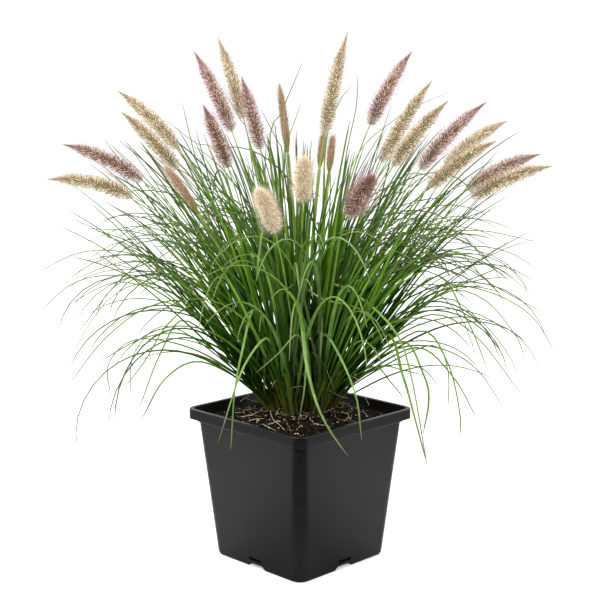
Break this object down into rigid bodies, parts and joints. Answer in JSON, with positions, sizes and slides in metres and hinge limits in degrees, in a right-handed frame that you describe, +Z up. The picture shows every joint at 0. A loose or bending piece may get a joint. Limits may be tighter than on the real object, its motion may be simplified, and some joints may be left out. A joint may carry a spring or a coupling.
{
  "type": "potted fountain grass clump",
  "caption": "Clump of fountain grass with arching leaf blades and bottlebrush plumes on tall stems, growing in a square black nursery pot filled with potting mix.",
  "frame": {"origin": "centre of the pot's flat underside", "axes": "+Z up, X and Y parallel to the pot's sides; the pot's corner between +X and -Y is the front corner of the picture"},
  "size_m": [0.682, 0.6809, 0.7202],
  "materials": {
    "pot_plastic": "satin",
    "potting_mix": "matte",
    "leaf_green": "satin",
    "stem_green": "satin",
    "plume_tan": "matte",
    "plume_purple": "matte",
    "plume_pale": "matte",
    "plume_bud": "matte"
  },
  "bodies": {
    "root": {"pot": "pot_plastic", "potting_mix": "potting_mix", "leaf_tuft_01": "leaf_green", "leaf_tuft_02": "leaf_green", "leaf_tuft_03": "leaf_green", "leaf_tuft_04": "leaf_green", "leaf_tuft_05": "leaf_green", "leaf_tuft_06": "leaf_green", "leaf_tuft_07": "leaf_green", "leaf_tuft_08": "leaf_green", "leaf_tuft_09": "leaf_green", "leaf_tuft_10": "leaf_green", "flower_stem_01": "stem_green", "plume_01": "plume_tan", "flower_stem_02": "stem_green", "plume_02": "plume_purple", "flower_stem_03": "stem_green", "plume_03": "plume_tan", "flower_stem_04": "stem_green", "plume_04": "plume_tan", "flower_stem_05": "stem_green", "plume_05": "plume_bud", "flower_stem_06": "stem_green", "plume_06": "plume_purple", "flower_stem_07": "stem_green", "plume_07": "plume_purple", "flower_stem_08": "stem_green", "plume_08": "plume_tan", "flower_stem_09": "stem_green", "plume_09": "plume_purple", "flower_stem_10": "stem_green", "plume_10": "plume_bud", "flower_stem_11": "stem_green", "plume_11": "plume_tan", "flower_stem_12": "stem_green", "plume_12": "plume_bud", "flower_stem_13": "stem_green", "plume_13": "plume_bud", "flower_stem_14": "stem_green", "plume_14": "plume_purple", "flower_stem_15": "stem_green", "plume_15": "plume_tan", "flower_stem_16": "stem_green", "plume_16": "plume_tan", "flower_stem_17": "stem_green", "plume_17": "plume_purple", "flower_stem_18": "stem_green", "plume_18": "plume_tan", "flower_stem_19": "stem_green", "plume_19": "plume_tan", "flower_stem_20": "stem_green", "plume_20": "plume_purple", "flower_stem_21": "stem_green", "plume_21": "plume_tan", "flower_stem_22": "stem_green", "plume_22": "plume_pale", "flower_stem_23": "stem_green", "plume_23": "plume_pale", "flower_stem_24": "stem_green", "plume_24": "plume_purple"}
  },
  "joints": []
}
